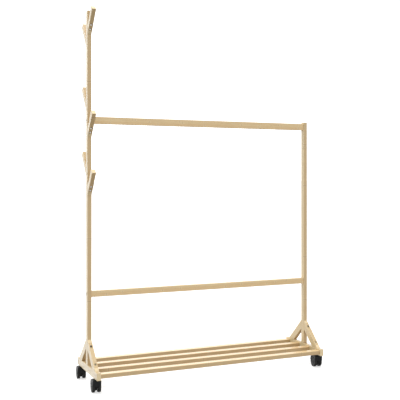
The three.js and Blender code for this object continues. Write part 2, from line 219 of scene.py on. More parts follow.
class Signal:
    """One output socket of a material's nodes. Arithmetic on signals and numbers adds Math nodes."""

    def __init__(self, socket):
        self.socket = socket

    def node(self, kind, settings=None, sockets=None, output=0):
        """Adds any other node: its type, its settings, and the values or links of its sockets."""
        tree = self.socket.id_data
        made = tree.nodes.new("ShaderNode" + kind)
        for name, value in (settings or {}).items():
            setattr(made, name, value)
        for name, value in (sockets or {}).items():
            if isinstance(value, Signal):
                tree.links.new(value.socket, made.inputs[name])
            else:
                made.inputs[name].default_value = value
        return Signal(made.outputs[output])

    def other(self, output):
        """Another output of the same node."""
        return Signal(self.socket.node.outputs[output])

    def maths(self, operation, first, second=0.0):
        """One Math node over two signals or numbers."""
        return self.node("Math", {"operation": operation}, {0: first, 1: second})

    def __add__(self, other):
        return self.maths("ADD", self, other)

    def __sub__(self, other):
        return self.maths("SUBTRACT", self, other)

    def __rsub__(self, other):
        return self.maths("SUBTRACT", other, self)

    def __mul__(self, other):
        return self.maths("MULTIPLY", self, other)

    def __truediv__(self, other):
        return self.maths("DIVIDE", self, other)

    __radd__ = __add__
    __rmul__ = __mul__

    def __abs__(self):
        return self.maths("ABSOLUTE", self)

    def floor(self):
        """The whole number below."""
        return self.maths("FLOOR", self)

    def fraction(self):
        """What the whole number below leaves over."""
        return self.maths("FRACT", self)

    def rise(self, low, high):
        """0 below low, 1 above high, and a smooth step between."""
        return self.node(
            "MapRange",
            {"interpolation_type": "SMOOTHSTEP"},
            {"Value": self, "From Min": low, "From Max": high},
        )

    def fall(self, low, high):
        """1 below low, 0 above high, and a smooth step between."""
        return 1 - self.rise(low, high)

    def chance(self):
        """A random number from 0 to 1 for each whole value."""
        return self.node("TexWhiteNoise", {"noise_dimensions": "1D"}, {"W": self})

    def parts(self):
        """A vector's three numbers."""
        first = self.node("SeparateXYZ", None, {"Vector": self})
        return first, first.other("Y"), first.other("Z")

    def stretched(self, *factors):
        """A vector with each of its numbers multiplied by its own factor."""
        return self.node("VectorMath", {"operation": "MULTIPLY"}, {0: self, 1: factors})

    def clouds(self, scale, detail=3.0, seed=0.0):
        """Soft noise from 0 to 1 over a vector."""
        sockets = {"Vector": self, "Scale": scale, "Detail": detail, "W": seed}
        return self.node("TexNoise", {"noise_dimensions": "4D"}, sockets)


def mixed(amount, first, second):
    """One colour turning into another as the amount goes from 0 to 1."""
    source = amount if isinstance(amount, Signal) else first
    return source.node("Mix", {"data_type": "RGBA"}, {0: amount, 6: first, 7: second}, 2)


def new_material(name):
    """A material with its own coordinates: the attribute that holds each vertex's place on its piece."""
    material = bpy.data.materials.new(name)
    material.use_nodes = True
    reader = material.node_tree.nodes.new("ShaderNodeAttribute")
    reader.attribute_name = "place"
    return material, Signal(reader.outputs["Vector"])


def set_surface(material, height, bump, constants, **sockets):
    """Links what varies to the surface shader, sets what doesn't on its own sockets, and raises the
    relief from a height signal in metres."""
    surface = material.node_tree.nodes["Principled BSDF"]
    for name, value in constants.items():
        surface.inputs[name].default_value = value
    relief = height.node("Bump", None, {"Height": height, "Strength": bump, "Distance": 1.0})
    sockets["Normal"] = relief
    for name, value in sockets.items():
        material.node_tree.links.new(value.socket, surface.inputs[name.replace("_", " ")])
    return material


# ---- Finishes ----

STRAW = (0.830, 0.670, 0.380, 1)
HONEY = (0.765, 0.540, 0.270, 1)
FIBRE_BROWN = (0.430, 0.250, 0.095, 1)
PALE_CULM = (0.860, 0.730, 0.480, 1)
NODE_BROWN = (0.320, 0.170, 0.060, 1)
GLUE_BROWN = (0.380, 0.225, 0.095, 1)
END_HONEY = (0.840, 0.680, 0.420, 1)
# Painted shade: the colour that the walls of drilled holes are darkened towards, in place of the shade that
# falls in the counterbores.
BORE_SHADE_BROWN = (0.170, 0.095, 0.040, 1)
NODE_SPACING = 0.26


def make_bamboo():
    """Laminated bamboo under satin lacquer. Strips 7 mm wide lie side by side, each with its own tone, fine
    long fibres, darker dashes where the vessels run, and a node every quarter metre or so: a thin brown
    line in a paler band. Thin glue lines part the strips, sawn ends show the vessels as dots, and drilled
    holes have painted shade on their walls."""
    material, place = new_material("laminated_bamboo")
    across, over, along = place.parts()
    stock = place.node("Attribute", {"attribute_name": "stock"}, None, "Vector")
    half_width, half_length, seed = stock.parts()

    count = (over + half_width) / STRIP_WIDTH
    strip = count.floor() + seed * 13
    to_joint = (0.5 - abs(count.fraction() - 0.5)) * STRIP_WIDTH
    joint = to_joint.fall(0.06 * MM, 0.30 * MM)

    step = (along + strip.chance() * NODE_SPACING) / NODE_SPACING
    lean = (strip + step.floor() * 7.7 + 0.4).chance() * 0.5 + 0.25
    wobble = place.stretched(1, 1, 0.2).clouds(260, 2, seed) - 0.5
    to_node = abs(step.fraction() - lean) * NODE_SPACING + wobble * (1.6 * MM)
    node_line = to_node.fall(0.5 * MM, 1.5 * MM)
    node_band = to_node.fall(2 * MM, 11 * MM)

    slow = place.stretched(1, 1, 0.06).clouds(60, 2, seed)
    fibre = place.stretched(1, 1, 0.012).clouds(1500, 4, seed)
    fine = place.stretched(1, 1, 0.02).clouds(4200, 2, seed)
    vessels = place.stretched(1, 1, 0.035).clouds(1150, 1, seed + 3)
    dash = vessels.rise(0.60, 0.70) * node_line.fall(0.0, 0.6)
    tone = (strip + 0.7).chance() * 0.5 + slow * 0.8 + seed.fraction() - 0.75

    grain = mixed(tone.rise(0.0, 1.0), STRAW, HONEY)
    grain = mixed(fibre.rise(0.42, 0.72) * 0.32, grain, FIBRE_BROWN)
    grain = mixed(fine.rise(0.5, 0.8) * 0.18, grain, PALE_CULM)
    grain = mixed(dash * 0.34, grain, FIBRE_BROWN)
    grain = mixed(node_band * 0.38, grain, PALE_CULM)
    grain = mixed(node_line * 0.72, grain, NODE_BROWN)
    grain = mixed(joint * 0.45, grain, GLUE_BROWN)

    corner = abs(across).rise(8.4 * MM, 9.8 * MM) * (half_width - abs(over)).fall(0.2 * MM, 1.6 * MM)
    worn = corner * place.clouds(90, 3, seed).rise(0.35, 0.65)
    grain = mixed(worn * 0.35, grain, PALE_CULM)

    end = (half_length - abs(along)).fall(0.35 * MM, 0.7 * MM)
    dots = place.stretched(1, 1, 0.05).node("TexVoronoi", None, {"Scale": 1500.0}, "Distance")
    sawn = mixed(dots.fall(0.15, 0.40) * 0.4, END_HONEY, FIBRE_BROWN)
    grain = mixed(end * 0.85, grain, sawn)
    # Painted shade: each face of a drilled hole's wall carries its hole's shade value, which darkens the
    # bamboo there.
    bore = place.node("Attribute", {"attribute_name": "bore"}, None, "Fac")
    grain = mixed(bore, grain, BORE_SHADE_BROWN)

    gloss = 0.34 + fibre * 0.16 + node_line * 0.12 + worn * 0.12 + end * 0.25
    height = fibre * (0.012 * MM) - joint * (0.03 * MM) - dash * (0.010 * MM) + node_band * (0.04 * MM)
    constants = {"Coat Weight": 0.45, "Coat Roughness": 0.18, "IOR": 1.5}
    return set_surface(material, height, 0.7, constants, Base_Color=grain, Roughness=gloss)


def make_plated(name, light, dark, roughness, tarnish):
    """Turned and plated steel: fine rings round the head, cloudy tarnish and small specks."""
    material, place = new_material(name)
    _, _, up = place.parts()
    from_axis = place.node("VectorMath", {"operation": "LENGTH"}, {0: place.stretched(1, 1, 0)}, "Value")
    lathe = from_axis * 9000 + up * 700
    rings = lathe.node("TexNoise", {"noise_dimensions": "1D"}, {"W": lathe, "Scale": 1.0, "Detail": 2.0})
    stains = place.clouds(420, 4)
    specks = place.clouds(2600, 2)
    cover = stains.rise(0.42, 0.70) * tarnish
    colour = mixed(cover + specks.rise(0.62, 0.75) * tarnish * 0.6, light, dark)
    rough = roughness + cover * 0.22 + rings * 0.10
    height = rings * (0.012 * MM) + specks * (0.008 * MM)
    return set_surface(material, height, 0.6, {"Metallic": 1.0}, Base_Color=colour, Roughness=rough)


NYLON_BLACK = (0.0060, 0.0063, 0.0070, 1)
NYLON_GREY = (0.012, 0.0124, 0.0135, 1)
DUST_GREY = (0.090, 0.085, 0.078, 1)
NYLON = {"Specular IOR Level": 0.22}


def make_hood_nylon():
    """Black moulded nylon: a fine spark-eroded texture, faint flow streaks, dust near the lower edges and
    paler scuffs on the corners that strike things."""
    material, place = new_material("moulded_nylon")
    across, _, up = place.parts()
    grainy = place.clouds(3200, 2)
    flow = place.stretched(1, 0.25, 1).clouds(160, 3)
    scuffs = place.stretched(0.4, 1, 1).clouds(700, 4).rise(0.58, 0.70)
    side = abs(across).rise(14 * MM, 18.5 * MM)
    low = up.fall(2 * MM, 16 * MM)
    colour = mixed(flow.rise(0.35, 0.75) * 0.55, NYLON_BLACK, NYLON_GREY)
    colour = mixed(scuffs * side * 0.30, colour, DUST_GREY)
    colour = mixed(low * grainy.rise(0.35, 0.7) * 0.28, colour, DUST_GREY)
    rough = 0.36 + grainy * 0.12 + low * 0.14 + scuffs * side * 0.12
    height = grainy * (0.030 * MM) - scuffs * side * (0.02 * MM)
    return set_surface(material, height, 0.7, NYLON, Base_Color=colour, Roughness=rough)


def make_wheel_nylon():
    """Black nylon wheels: the tread is dull and grey with floor dust, and scratched along its rolling
    direction, while the faces keep their moulded gloss with faint rings."""
    material, place = new_material("wheel_nylon")
    across, _, _ = place.parts()
    from_axle = place.node("VectorMath", {"operation": "LENGTH"}, {0: place.stretched(0, 1, 1)}, "Value")
    tread = from_axle.rise(23.9 * MM, 25.2 * MM)
    rings = across.node("TexNoise", {"noise_dimensions": "1D"}, {"W": across * 5200, "Scale": 1.0})
    turns = from_axle.node("TexNoise", {"noise_dimensions": "1D"}, {"W": from_axle * 3000, "Scale": 1.0})
    dirt = place.clouds(330, 4)
    grainy = place.clouds(2800, 2)
    colour = mixed(turns.rise(0.4, 0.7) * 0.5, NYLON_BLACK, NYLON_GREY)
    colour = mixed(tread * (0.16 + dirt.rise(0.4, 0.7) * 0.34) * (0.6 + rings * 0.6), colour, DUST_GREY)
    rough = 0.33 + tread * 0.26 + grainy * 0.10 + dirt * 0.06
    height = grainy * (0.018 * MM) + tread * rings * (0.05 * MM) + turns * (0.010 * MM)
    return set_surface(material, height, 0.7, NYLON, Base_Color=colour, Roughness=rough)


FINISHES = {
    "bamboo": make_bamboo(),
    "dark_steel": make_plated(
        "blackened_steel", (0.150, 0.155, 0.160, 1), (0.050, 0.048, 0.045, 1), 0.34, 0.6
    ),
    "bright_zinc": make_plated("bright_zinc", (1.0, 0.97, 0.93, 1), (0.70, 0.67, 0.63, 1), 0.34, 0.30),
    "stem_steel": make_plated("dull_zinc", (0.56, 0.57, 0.58, 1), (0.27, 0.27, 0.28, 1), 0.32, 0.7),
    "hood_plastic": make_hood_nylon(),
    "wheel_plastic": make_wheel_nylon(),
}


# ---- Bamboo bars ----


class Stick(NamedTuple):
    """A bar's place and size: its middle, its axes (across its thin side, across its wide side, along it),
    its half widths, and each end plane as the place along the bar where it crosses the middle line and how
    fast that changes across the wide side."""

    middle: np.ndarray
    axes: np.ndarray
    half_thin: float
    half_wide: float
    low: tuple
    high: tuple


def straight_stick(node, along):
    """A square-ended bar that fills its node's box, with its wide side across the longer way."""
    low, high = (np.array(corner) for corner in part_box(node))
    half = (high - low) / 2
    others = [axis for axis in range(3) if not along[axis]]
    thin, wide = sorted(others, key=lambda axis: half[axis])
    axes = np.array([np.eye(3)[thin], np.eye(3)[wide], along])
    axes[0] *= np.linalg.det(axes)
    length = half @ along
    return Stick((low + high) / 2, axes, half[thin], half[wide], (-length, 0.0), (length, 0.0))


def end_plane(middle, axes, axis, value):
    """Where the bar's own lines meet a level or upright plane: the place along the middle line, and its
    change with the place across the wide side."""
    along = axes[2][axis]
    return (value - middle[axis]) / along, -axes[1][axis] / along


def sloping_stick(low, high, side, direction, width, start):
    """A stick in an upright plane: its outer face starts at the given corner of its box and runs along the
    direction, and its body lies inside that face."""
    outward = np.cross(X, direction)
    outward *= math.copysign(1.0, outward[1] * side)
    axes = np.array([np.cross(outward, direction), outward, direction])
    length = (high[1] - low[1]) / abs(direction[1])
    middle = start + direction * length / 2 - outward * width / 2
    return middle, axes, length


def hook_stick(node):
    """A coat hook: cut flush to the post's face at its foot, and square at its tip."""
    low, high = (np.array(corner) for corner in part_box(node))
    side = math.copysign(1.0, low[1] + high[1])
    face = low[1] if side > 0 else high[1]
    start = np.array([(low[0] + high[0]) / 2, face, low[2]])
    direction = np.array([0.0, side * math.sin(HOOK_LEAN), math.cos(HOOK_LEAN)])
    middle, axes, length = sloping_stick(low, high, side, direction, HOOK_WIDTH, start)
    half_thin = (high[0] - low[0]) / 2
    foot = end_plane(middle, axes, 1, face)
    return Stick(middle, axes, half_thin, HOOK_WIDTH / 2, foot, (length / 2, 0.0))


def brace_stick(node):
    """A brace: cut flush to the foot beam's top at its foot and to the post's face at its head."""
    low, high = (np.array(corner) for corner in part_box(node))
    side = math.copysign(1.0, low[1] + high[1])
    face, toe = (low[1], high[1]) if side > 0 else (high[1], low[1])
    start = np.array([(low[0] + high[0]) / 2, toe, low[2]])
    direction = np.array([0.0, face - toe, high[2] - low[2]])
    direction /= np.linalg.norm(direction)
    middle, axes, _ = sloping_stick(low, high, side, direction, BRACE_WIDTH, start)
    half_thin = (high[0] - low[0]) / 2
    foot = end_plane(middle, axes, 2, low[2])
    head = end_plane(middle, axes, 1, face)
    return Stick(middle, axes, half_thin, BRACE_WIDTH / 2, foot, head)


def rounded_rectangle(half_thin, half_wide, radius, steps=4):
    """The outline of a rectangle with round corners: at each corner a quarter circle about a centre that is
    set in from both sides by the radius."""
    angle = np.linspace(0, math.pi / 2, steps + 1) + np.arange(4)[:, None] * math.pi / 2
    sign_thin = np.array([1, -1, -1, 1])[:, None]
    sign_wide = np.array([1, 1, -1, -1])[:, None]
    thin = sign_thin * (half_thin - radius) + radius * np.cos(angle)
    wide = sign_wide * (half_wide - radius) + radius * np.sin(angle)
    return thin.ravel(), wide.ravel()


def bar_skin(stick):
    """A round-cornered section carried along the bar. Near each end the section shrinks by
    r (1 - sin t) while it moves in from the end plane by r (1 - cos t), which rounds the end's edges."""
    rings = []
    turn = np.linspace(0, math.pi / 2, 4)
    for (place, slope), inward in ((stick.low, 1), (stick.high, -1)):
        for t in turn if inward > 0 else turn[::-1]:
            inset = END_ROUND * (1 - math.sin(t))
            thin, wide = rounded_rectangle(
                stick.half_thin - inset, stick.half_wide - inset, EDGE_ROUND - inset
            )
            along = place + slope * wide + inward * END_ROUND * (1 - math.cos(t))
            rings.append(np.stack([thin, wide, along], -1) @ stick.axes + stick.middle)
    return skin(np.array(rings))


BAR_NUMBERS = itertools.count(1)


def add_bar(node, stick, warmth, holes=()):
    """A bamboo bar in place of its CAD node, with the counterbores of the bolts that go in through it. Its
    number and its warmth (0 for straw to 1 for honey) go to the material together."""
    piece = new_object(node + "_bamboo", [bar_skin(stick)])
    if holes:
        drill(piece, holes)
    half_length = (stick.high[0] - stick.low[0]) / 2
    stock = (stick.half_wide, half_length, next(BAR_NUMBERS) + warmth)
    middle = stick.middle + stick.axes[2] * (stick.high[0] + stick.low[0]) / 2
    complete(piece, "rack_frame", FINISHES["bamboo"], middle, stick.axes, [node], stock)


# ---- Screws and bolts ----


class Fastener(NamedTuple):
    """Head radius, head height, shank radius, drive recess (its kind, reach and depth), finish, and how
    dark the painted shade on the walls of its counterbore is."""

    head: float
    height: float
    shank: float
    drive: str
    reach: float
    depth: float
    slot: str
    counterbore_shade: float


# The last number of each is the painted shade on the walls of its counterbore: dark round the hook screws,
# light round the rest.
HOOK_SCREW = Fastener(4.0 * MM, 2.4 * MM, 2.0 * MM, "cross", 2.3 * MM, 1.6 * MM, "bright_zinc", 0.95)
SLAT_SCREW = Fastener(4.6 * MM, 2.4 * MM, 2.3 * MM, "cross", 2.6 * MM, 1.7 * MM, "bright_zinc", 0.3)
BRACE_BOLT = Fastener(4.8 * MM, 3.6 * MM, 2.5 * MM, "hexagon", 2.0 * MM, 2.2 * MM, "dark_steel", 0.2)
RAIL_BOLT = Fastener(6.0 * MM, 3.8 * MM, 3.5 * MM, "hexagon", 2.5 * MM, 2.4 * MM, "dark_steel", 0.2)
FOOT_BOLT = Fastener(6.0 * MM, 3.8 * MM, 3.0 * MM, "hexagon", 2.5 * MM, 2.4 * MM, "dark_steel", 0.2)
CROSS_ARM = 0.62 * MM
HEAD_SEGMENTS = 96


def recess_outline(fastener, angle):
    """Distance from the axis to the recess's wall at each angle. A hexagon's is its apothem over the cosine
    of the angle from the nearest flat's middle. A cross's is its reach over the cosine at the end of an
    arm, and its arm's half width over the sine along the arm's side."""
    if fastener.drive == "hexagon":
        flat = math.pi / 3
        return fastener.reach / np.cos((angle + flat / 2) % flat - flat / 2)
    quarter = math.pi / 2
    off = np.abs((angle + quarter / 2) % quarter - quarter / 2)
    at_end = fastener.reach / np.cos(off)
    at_side = CROSS_ARM / np.maximum(np.sin(off), 1e-6)
    return np.minimum(at_end, at_side)


def head_skin(fastener, length, seat, axes):
    """Rings from the recess's floor to the shank's end. A ring is the recess's outline inside, a circle at
    the rim, and between them a mix, with the head's dome falling as 1 - share squared."""
    angle = np.linspace(0, 2 * math.pi, HEAD_SEGMENTS, endpoint=False)
    recess = recess_outline(fastener, angle)
    head, height = fastener.head, fastener.height
    dome = 0.28 * height
    mouth = height - dome * (fastener.reach / head) ** 2
    rows = [
        (recess * 0.80, mouth - fastener.depth),
        (recess * 0.98, mouth - fastener.depth * 0.9),
        (recess, mouth - 0.10 * MM),
        (recess * 1.05 + 0.06 * MM, mouth + 0.02 * MM),
    ]
    for share in (0.72, 0.84, 0.93):
        circle = np.full_like(angle, head * share)
        keep = max(0.0, 1 - (share - 0.55) / 0.25)
        rows.append((np.maximum(circle, recess * 1.1) * (1 - keep) + (recess * 1.2) * keep,
                     height - dome * share**2))
    rows += [
        (np.full_like(angle, head * 0.985), height - dome - 0.12 * height),
        (np.full_like(angle, head), height - dome - 0.28 * height),
        (np.full_like(angle, head), 0.08 * height),
        (np.full_like(angle, head * 0.97), 0.0),
        (np.full_like(angle, fastener.shank), 0.0),
        (np.full_like(angle, fastener.shank), -length + fastener.shank),
        (np.full_like(angle, fastener.shank * 0.25), -length),
    ]
    radius = np.array([row[0] for row in rows])
    level = np.array([row[1] for row in rows])
    circle = np.cos(angle)[:, None] * axes[0] + np.sin(angle)[:, None] * axes[1]
    return skin(radius[..., None] * circle + level[:, None, None] * axes[2] + seat)


def add_fastener(name, fastener, seat, outward, length, stands_for=()):
    """A screw or bolt whose head's underside lies on the seat. The hole that its head needs is made apart
    from it.
    """
    axes = axes_about(outward)
    piece = new_object(name, [head_skin(fastener, length, seat, axes)])
    finish = FINISHES[fastener.slot]
    complete(piece, "rack_frame", finish, seat, axes, stands_for)


def hole(fastener, seat, outward):
    """The counterbore for a fastener's head, in the form that drill takes."""
    return seat, outward, fastener.head + HEAD_CLEARANCE, fastener.counterbore_shade


def cad_fastener(node, fastener, outward):
    """The seat and length of a fastener's CAD node: its head lies at the outward end of its box."""
    low, high = (np.array(corner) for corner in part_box(node))
    middle, half = (low + high) / 2, (high - low) / 2
    reach = abs(half @ outward)
    seat = middle + outward * (reach - fastener.height)
    return seat, 2 * reach - fastener.height


# ---- Frame ----

SIDES = {"left": -1, "right": 1}
ENDS = {"front": -1, "back": 1}
RAILS = ("hanging_rail", "lower_rail")
SLATS = tuple(sorted(node for node in frame["nodes"] if node.startswith("shelf_slat_")))


def middle_of(node):
    """The middle of a CAD node's box."""
    low, high = (np.array(corner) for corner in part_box(node))
    return (low + high) / 2


def side_seat(face, outward_x, node, depth):
    """The seat of a bolt that enters a face square to X, level with the middle of the bar it holds."""
    middle = middle_of(node)
    return np.array([face - outward_x * depth, middle[1], middle[2]])


def add_end(side, outward_x):
    """A foot beam, its post and their braces, with every screw and bolt that goes in from this end."""
    beam, post = "foot_beam_" + side, "post_" + side
    corner = 1 if outward_x > 0 else 0
    beam_face, post_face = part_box(beam)[corner][0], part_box(post)[corner][0]
    outward = X * outward_x
    beam_holes, post_holes = [], []
    for number, slat in enumerate(SLATS, 1):
        seat = side_seat(beam_face, outward_x, slat, SLAT_SCREW_SEAT)
        beam_holes.append(hole(SLAT_SCREW, seat, outward))
        add_fastener(f"slat_screw_{side}_{number}", SLAT_SCREW, seat, outward, SLAT_SCREW_LENGTH)
    for rail in RAILS:
        seat = side_seat(post_face, outward_x, rail, RAIL_BOLT_SEAT)
        post_holes.append(hole(RAIL_BOLT, seat, outward))
        add_fastener(f"rail_bolt_{side}_{rail}", RAIL_BOLT, seat, outward, RAIL_BOLT_LENGTH)
    under = middle_of(beam)
    seat = np.array([under[0], under[1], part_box(beam)[0][2] + FOOT_BOLT_SEAT])
    beam_holes.append(hole(FOOT_BOLT, seat, -Z))
    add_fastener("foot_bolt_" + side, FOOT_BOLT, seat, -Z, FOOT_BOLT_LENGTH)
    for end in ENDS:
        stem = middle_of(f"caster_{end}_{side}_stem")
        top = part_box(f"caster_{end}_{side}_stem")[1][2]
        # The stem's hole gets full painted shade on its walls.
        beam_holes.append((np.array([stem[0], stem[1], top + 0.3 * MM]), -Z, STEM_HOLE, 1.0))
    add_bar(beam, straight_stick(beam, Y), 0.35, beam_holes)
    add_bar(post, straight_stick(post, Z), 0.35, post_holes)
    for end, outward_y in ENDS.items():
        brace_holes = []
        for place, way in (("upper", Y * outward_y), ("lower", Z)):
            node = f"brace_bolt_{side}_{end}_{place}"
            seat, length = cad_fastener(node, BRACE_BOLT, way)
            brace_holes.append(hole(BRACE_BOLT, seat, way))
            add_fastener(node.replace("bolt", "cap_bolt"), BRACE_BOLT, seat, way, length, [node])
        brace = f"brace_{side}_{end}"
        add_bar(brace, brace_stick(brace), 0.3, brace_holes)


def add_hook(end, outward_y, number):
    """A coat hook with its two sunk screws."""
    outward = Y * outward_y
    holes = []
    for place in ("lower", "upper"):
        node = f"hook_screw_{end}_{number}_{place}"
        seat, length = cad_fastener(node, HOOK_SCREW, outward)
        holes.append(hole(HOOK_SCREW, seat, outward))
        add_fastener(node.replace("screw", "pan_screw"), HOOK_SCREW, seat, outward, length, [node])
    node = f"coat_hook_{end}_{number}"
    add_bar(node, hook_stick(node), 0.5, holes)


for side_name, side_sign in SIDES.items():
    add_end(side_name, side_sign)
for rail_name in RAILS:
    add_bar(rail_name, straight_stick(rail_name, X), 0.7)
for slat_name in SLATS:
    add_bar(slat_name, straight_stick(slat_name, X), 0.85)
for end_name, end_sign in ENDS.items():
    for hook_number in (1, 2, 3):
        add_hook(end_name, end_sign, hook_number)


# ---- Casters ----


def hood_radius(angle):
    """Distance from the axle to the hood's outer skin: a superellipse, nearly square ahead of the axle and
    rounder behind it. The two halves meet at the top."""
    ahead = np.cos(angle) < 0
    power = np.where(ahead, HOOD_FRONT_POWER, HOOD_TAIL_POWER)
    reach = np.where(ahead, HOOD_FRONT, HOOD_TAIL)
    level = np.abs(np.cos(angle)) / reach
    upright = np.abs(np.sin(angle)) / HOOD_TOP
    return (level**power + upright**power) ** (-1 / power)


def fender_skin(origin, axes):
    """A thick strip bent over the wheels: at each angle about the axle its section is a flat bar from the
    inner radius to the hood's outline, with round outer edges and a slight crown."""
    angle = np.linspace(*HOOD_ANGLES, 72)
    turn = np.linspace(0, math.pi / 2, 6)
    edge_x = HOOD_HALF_WIDTH - HOOD_EDGE_ROUND * (1 - np.sin(turn))
    edge_drop = HOOD_EDGE_ROUND * 0.8 * (1 - np.cos(turn))
    top_x = np.concatenate([-edge_x[::-1], np.linspace(-0.8, 0.8, 7) * edge_x[0], edge_x])
    top_drop = np.concatenate([edge_drop[::-1], np.zeros(7), edge_drop])
    top_drop = top_drop + HOOD_CROWN * (top_x / HOOD_HALF_WIDTH) ** 2
    under_x = np.array([1.0, 0.98, -0.98, -1.0]) * HOOD_HALF_WIDTH
    under_rise = np.array([0.35, 0.0, 0.0, 0.35]) * MM
    outer = np.maximum(hood_radius(angle)[:, None] - top_drop, HOOD_INNER + 0.7 * MM)
    inner = np.broadcast_to(HOOD_INNER + under_rise, (len(angle), 4))
    radius = np.concatenate([outer, inner], 1)
    across = np.broadcast_to(np.concatenate([top_x, under_x]), radius.shape)
    local = np.stack([across, radius * np.cos(angle)[:, None], radius * np.sin(angle)[:, None]], -1)
    return skin(local @ axes + origin)


def web_skin(origin, axes):
    """The plate between the wheels: a disc about the axle that swells to meet the fender over the hood's
    arc, with round edges and a low hub round the axle's hole."""
    angle = np.linspace(0, 2 * math.pi, 120, endpoint=False)
    start, stop = HOOD_ANGLES
    outside = np.maximum(np.maximum(start - angle, angle - stop), 0)
    outside = np.minimum(outside, np.abs(2 * math.pi + start - angle))
    share = np.clip(outside / math.radians(42), 0, 1)
    swell = 1 - share * share * (3 - 2 * share)
    rim = WEB_RADIUS + (HOOD_INNER + 0.4 * MM - WEB_RADIUS) * swell
    turn = np.linspace(0, math.pi, 9)
    edge = 1.4 * MM
    hub = 0.25 * MM
    rows = [(np.full_like(angle, AXLE_HOLE), WEB_HALF_WIDTH + hub - 0.3 * MM)]
    rows += [(np.full_like(angle, AXLE_HOLE + 0.3 * MM), WEB_HALF_WIDTH + hub)]
    rows += [(np.full_like(angle, 7.5 * MM), WEB_HALF_WIDTH + hub)]
    rows += [(np.full_like(angle, 8.0 * MM), WEB_HALF_WIDTH)]
    flat = WEB_HALF_WIDTH - edge
    rows += [(rim - edge + edge * np.sin(t), math.copysign(flat, math.cos(t)) + edge * math.cos(t))
             for t in turn if abs(math.cos(t)) > 1e-6]
    rows += [(row[0], -row[1]) for row in reversed(rows[:4])]
    radius = np.array([row[0] for row in rows])
    across = np.array([row[1] for row in rows])[:, None] + np.zeros_like(radius)
    local = np.stack([across, radius * np.cos(angle), radius * np.sin(angle)], -1)
    return skin(local @ axes + origin, looped=True)


def boss_skin(origin, axes):
    """The round socket in which the stem turns: a cup, open at the hood's top."""
    profile = [
        [0.4 * MM, BOSS_FLOOR],
        [STEM_HOLE - 0.3 * MM, BOSS_FLOOR],
        [STEM_HOLE, BOSS_FLOOR + 0.3 * MM],
        [STEM_HOLE, HOOD_TOP - 0.9 * MM],
        [STEM_HOLE + 0.5 * MM, HOOD_TOP - 0.3 * MM],
        [BOSS_RADIUS, HOOD_TOP - 0.6 * MM],
        [BOSS_RADIUS, BOSS_BOTTOM + 1.5 * MM],
        [BOSS_RADIUS - 0.5 * MM, BOSS_BOTTOM + 0.4 * MM],
        [BOSS_RADIUS - 1.6 * MM, BOSS_BOTTOM],
        [0.4 * MM, BOSS_BOTTOM],
    ]
    return turned(profile, origin, axes, 48)


# A wheel's outline from its bore round the inner face and tread to the outer face's lip, then the disc and
# the hub cap. Each point is [distance from the axle, distance out from the caster's middle].
WHEEL_PROFILE = np.array(
    [
        [3.3, 17.1], [3.3, 5.3], [3.6, 5.0], [8.4, 5.0], [9.2, 5.6], [9.8, 8.0], [10.8, 8.8], [19.4, 8.8],
        [20.4, 8.2], [20.9, 6.4], [21.6, 5.6], [22.6, 5.7], [24.0, 6.5], [25.0, 7.8], [25.42, 9.0],
        [25.5, 10.0], [25.5, 18.6], [25.38, 19.5], [25.0, 20.2], [24.3, 20.75], [23.2, 20.98],
        [21.6, 21.0], [21.0, 20.8], [20.6, 20.2], [20.1, 19.9],
    ]
) * MM
WHEEL_DISC = np.array(
    [[19.2, 19.86], [17.8, 19.82], [15.0, 19.75], [12.6, 19.7], [11.3, 19.7]]
) * MM
WHEEL_HUB = np.array(
    [[10.6, 19.72], [10.1, 20.0], [9.8, 20.55], [9.3, 20.9], [8.6, 21.0], [4.6, 21.0], [4.0, 20.8],
     [3.6, 20.35], [3.0, 20.15], [0.5, 20.1]]
) * MM
WHEEL_RIBS = 8
RIB_HEIGHT = 0.75 * MM


def wheel_skin(origin, axes, way):
    """A wheel turned about the axle. On its dished outer face the disc rises into low ribs: the rise is a
    high even power of the cosine of half the rib count times the angle, and fades at the disc's edges."""
    profile = np.concatenate([WHEEL_PROFILE, WHEEL_DISC, WHEEL_HUB])
    rise = np.zeros(len(profile))
    rise[len(WHEEL_PROFILE) : len(WHEEL_PROFILE) + len(WHEEL_DISC)] = (0.4, 1.0, 1.0, 1.0, 0.4)
    angle = np.linspace(0, 2 * math.pi, 160, endpoint=False)
    rib = np.cos(angle * WHEEL_RIBS / 2) ** 24 * RIB_HEIGHT
    across = way * (profile[:, 1, None] + rise[:, None] * rib)
    radius = profile[:, 0, None] + np.zeros_like(across)
    local = np.stack([across, radius * np.cos(angle), radius * np.sin(angle)], -1)
    return skin(local @ axes + origin)


def stem_skin(node, middle, beam_bottom):
    """The stem: a journal in the hood, a collar with chamfered rims between hood and beam, and a thread in
    the beam, whose radius swings once every pitch."""
    low, high = (np.array(corner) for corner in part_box(node))
    collar_low, collar_high = beam_bottom - 2.7 * MM, beam_bottom - 0.3 * MM
    thread = np.arange(beam_bottom + 1.5 * MM, high[2] - 2 * MM, 0.3 * MM)
    swing = 3.75 * MM + 0.22 * MM * np.cos(thread * 2 * math.pi / (1.25 * MM))
    profile = [
        [0.4 * MM, low[2]], [3.4 * MM, low[2]], [4.0 * MM, low[2] + 0.6 * MM], [4.0 * MM, collar_low],
        [5.9 * MM, collar_low], [6.4 * MM, collar_low + 0.5 * MM], [6.4 * MM, collar_high - 0.5 * MM],
        [5.9 * MM, collar_high], [4.0 * MM, collar_high], [4.0 * MM, beam_bottom + 1 * MM],
    ]
    profile += np.stack([swing, thread], -1).tolist()
    profile += [[3.2 * MM, high[2] - 0.6 * MM], [2.6 * MM, high[2]], [0.4 * MM, high[2]]]
    return turned(profile, np.array([middle[0], middle[1], 0.0]), UPRIGHT, 40)


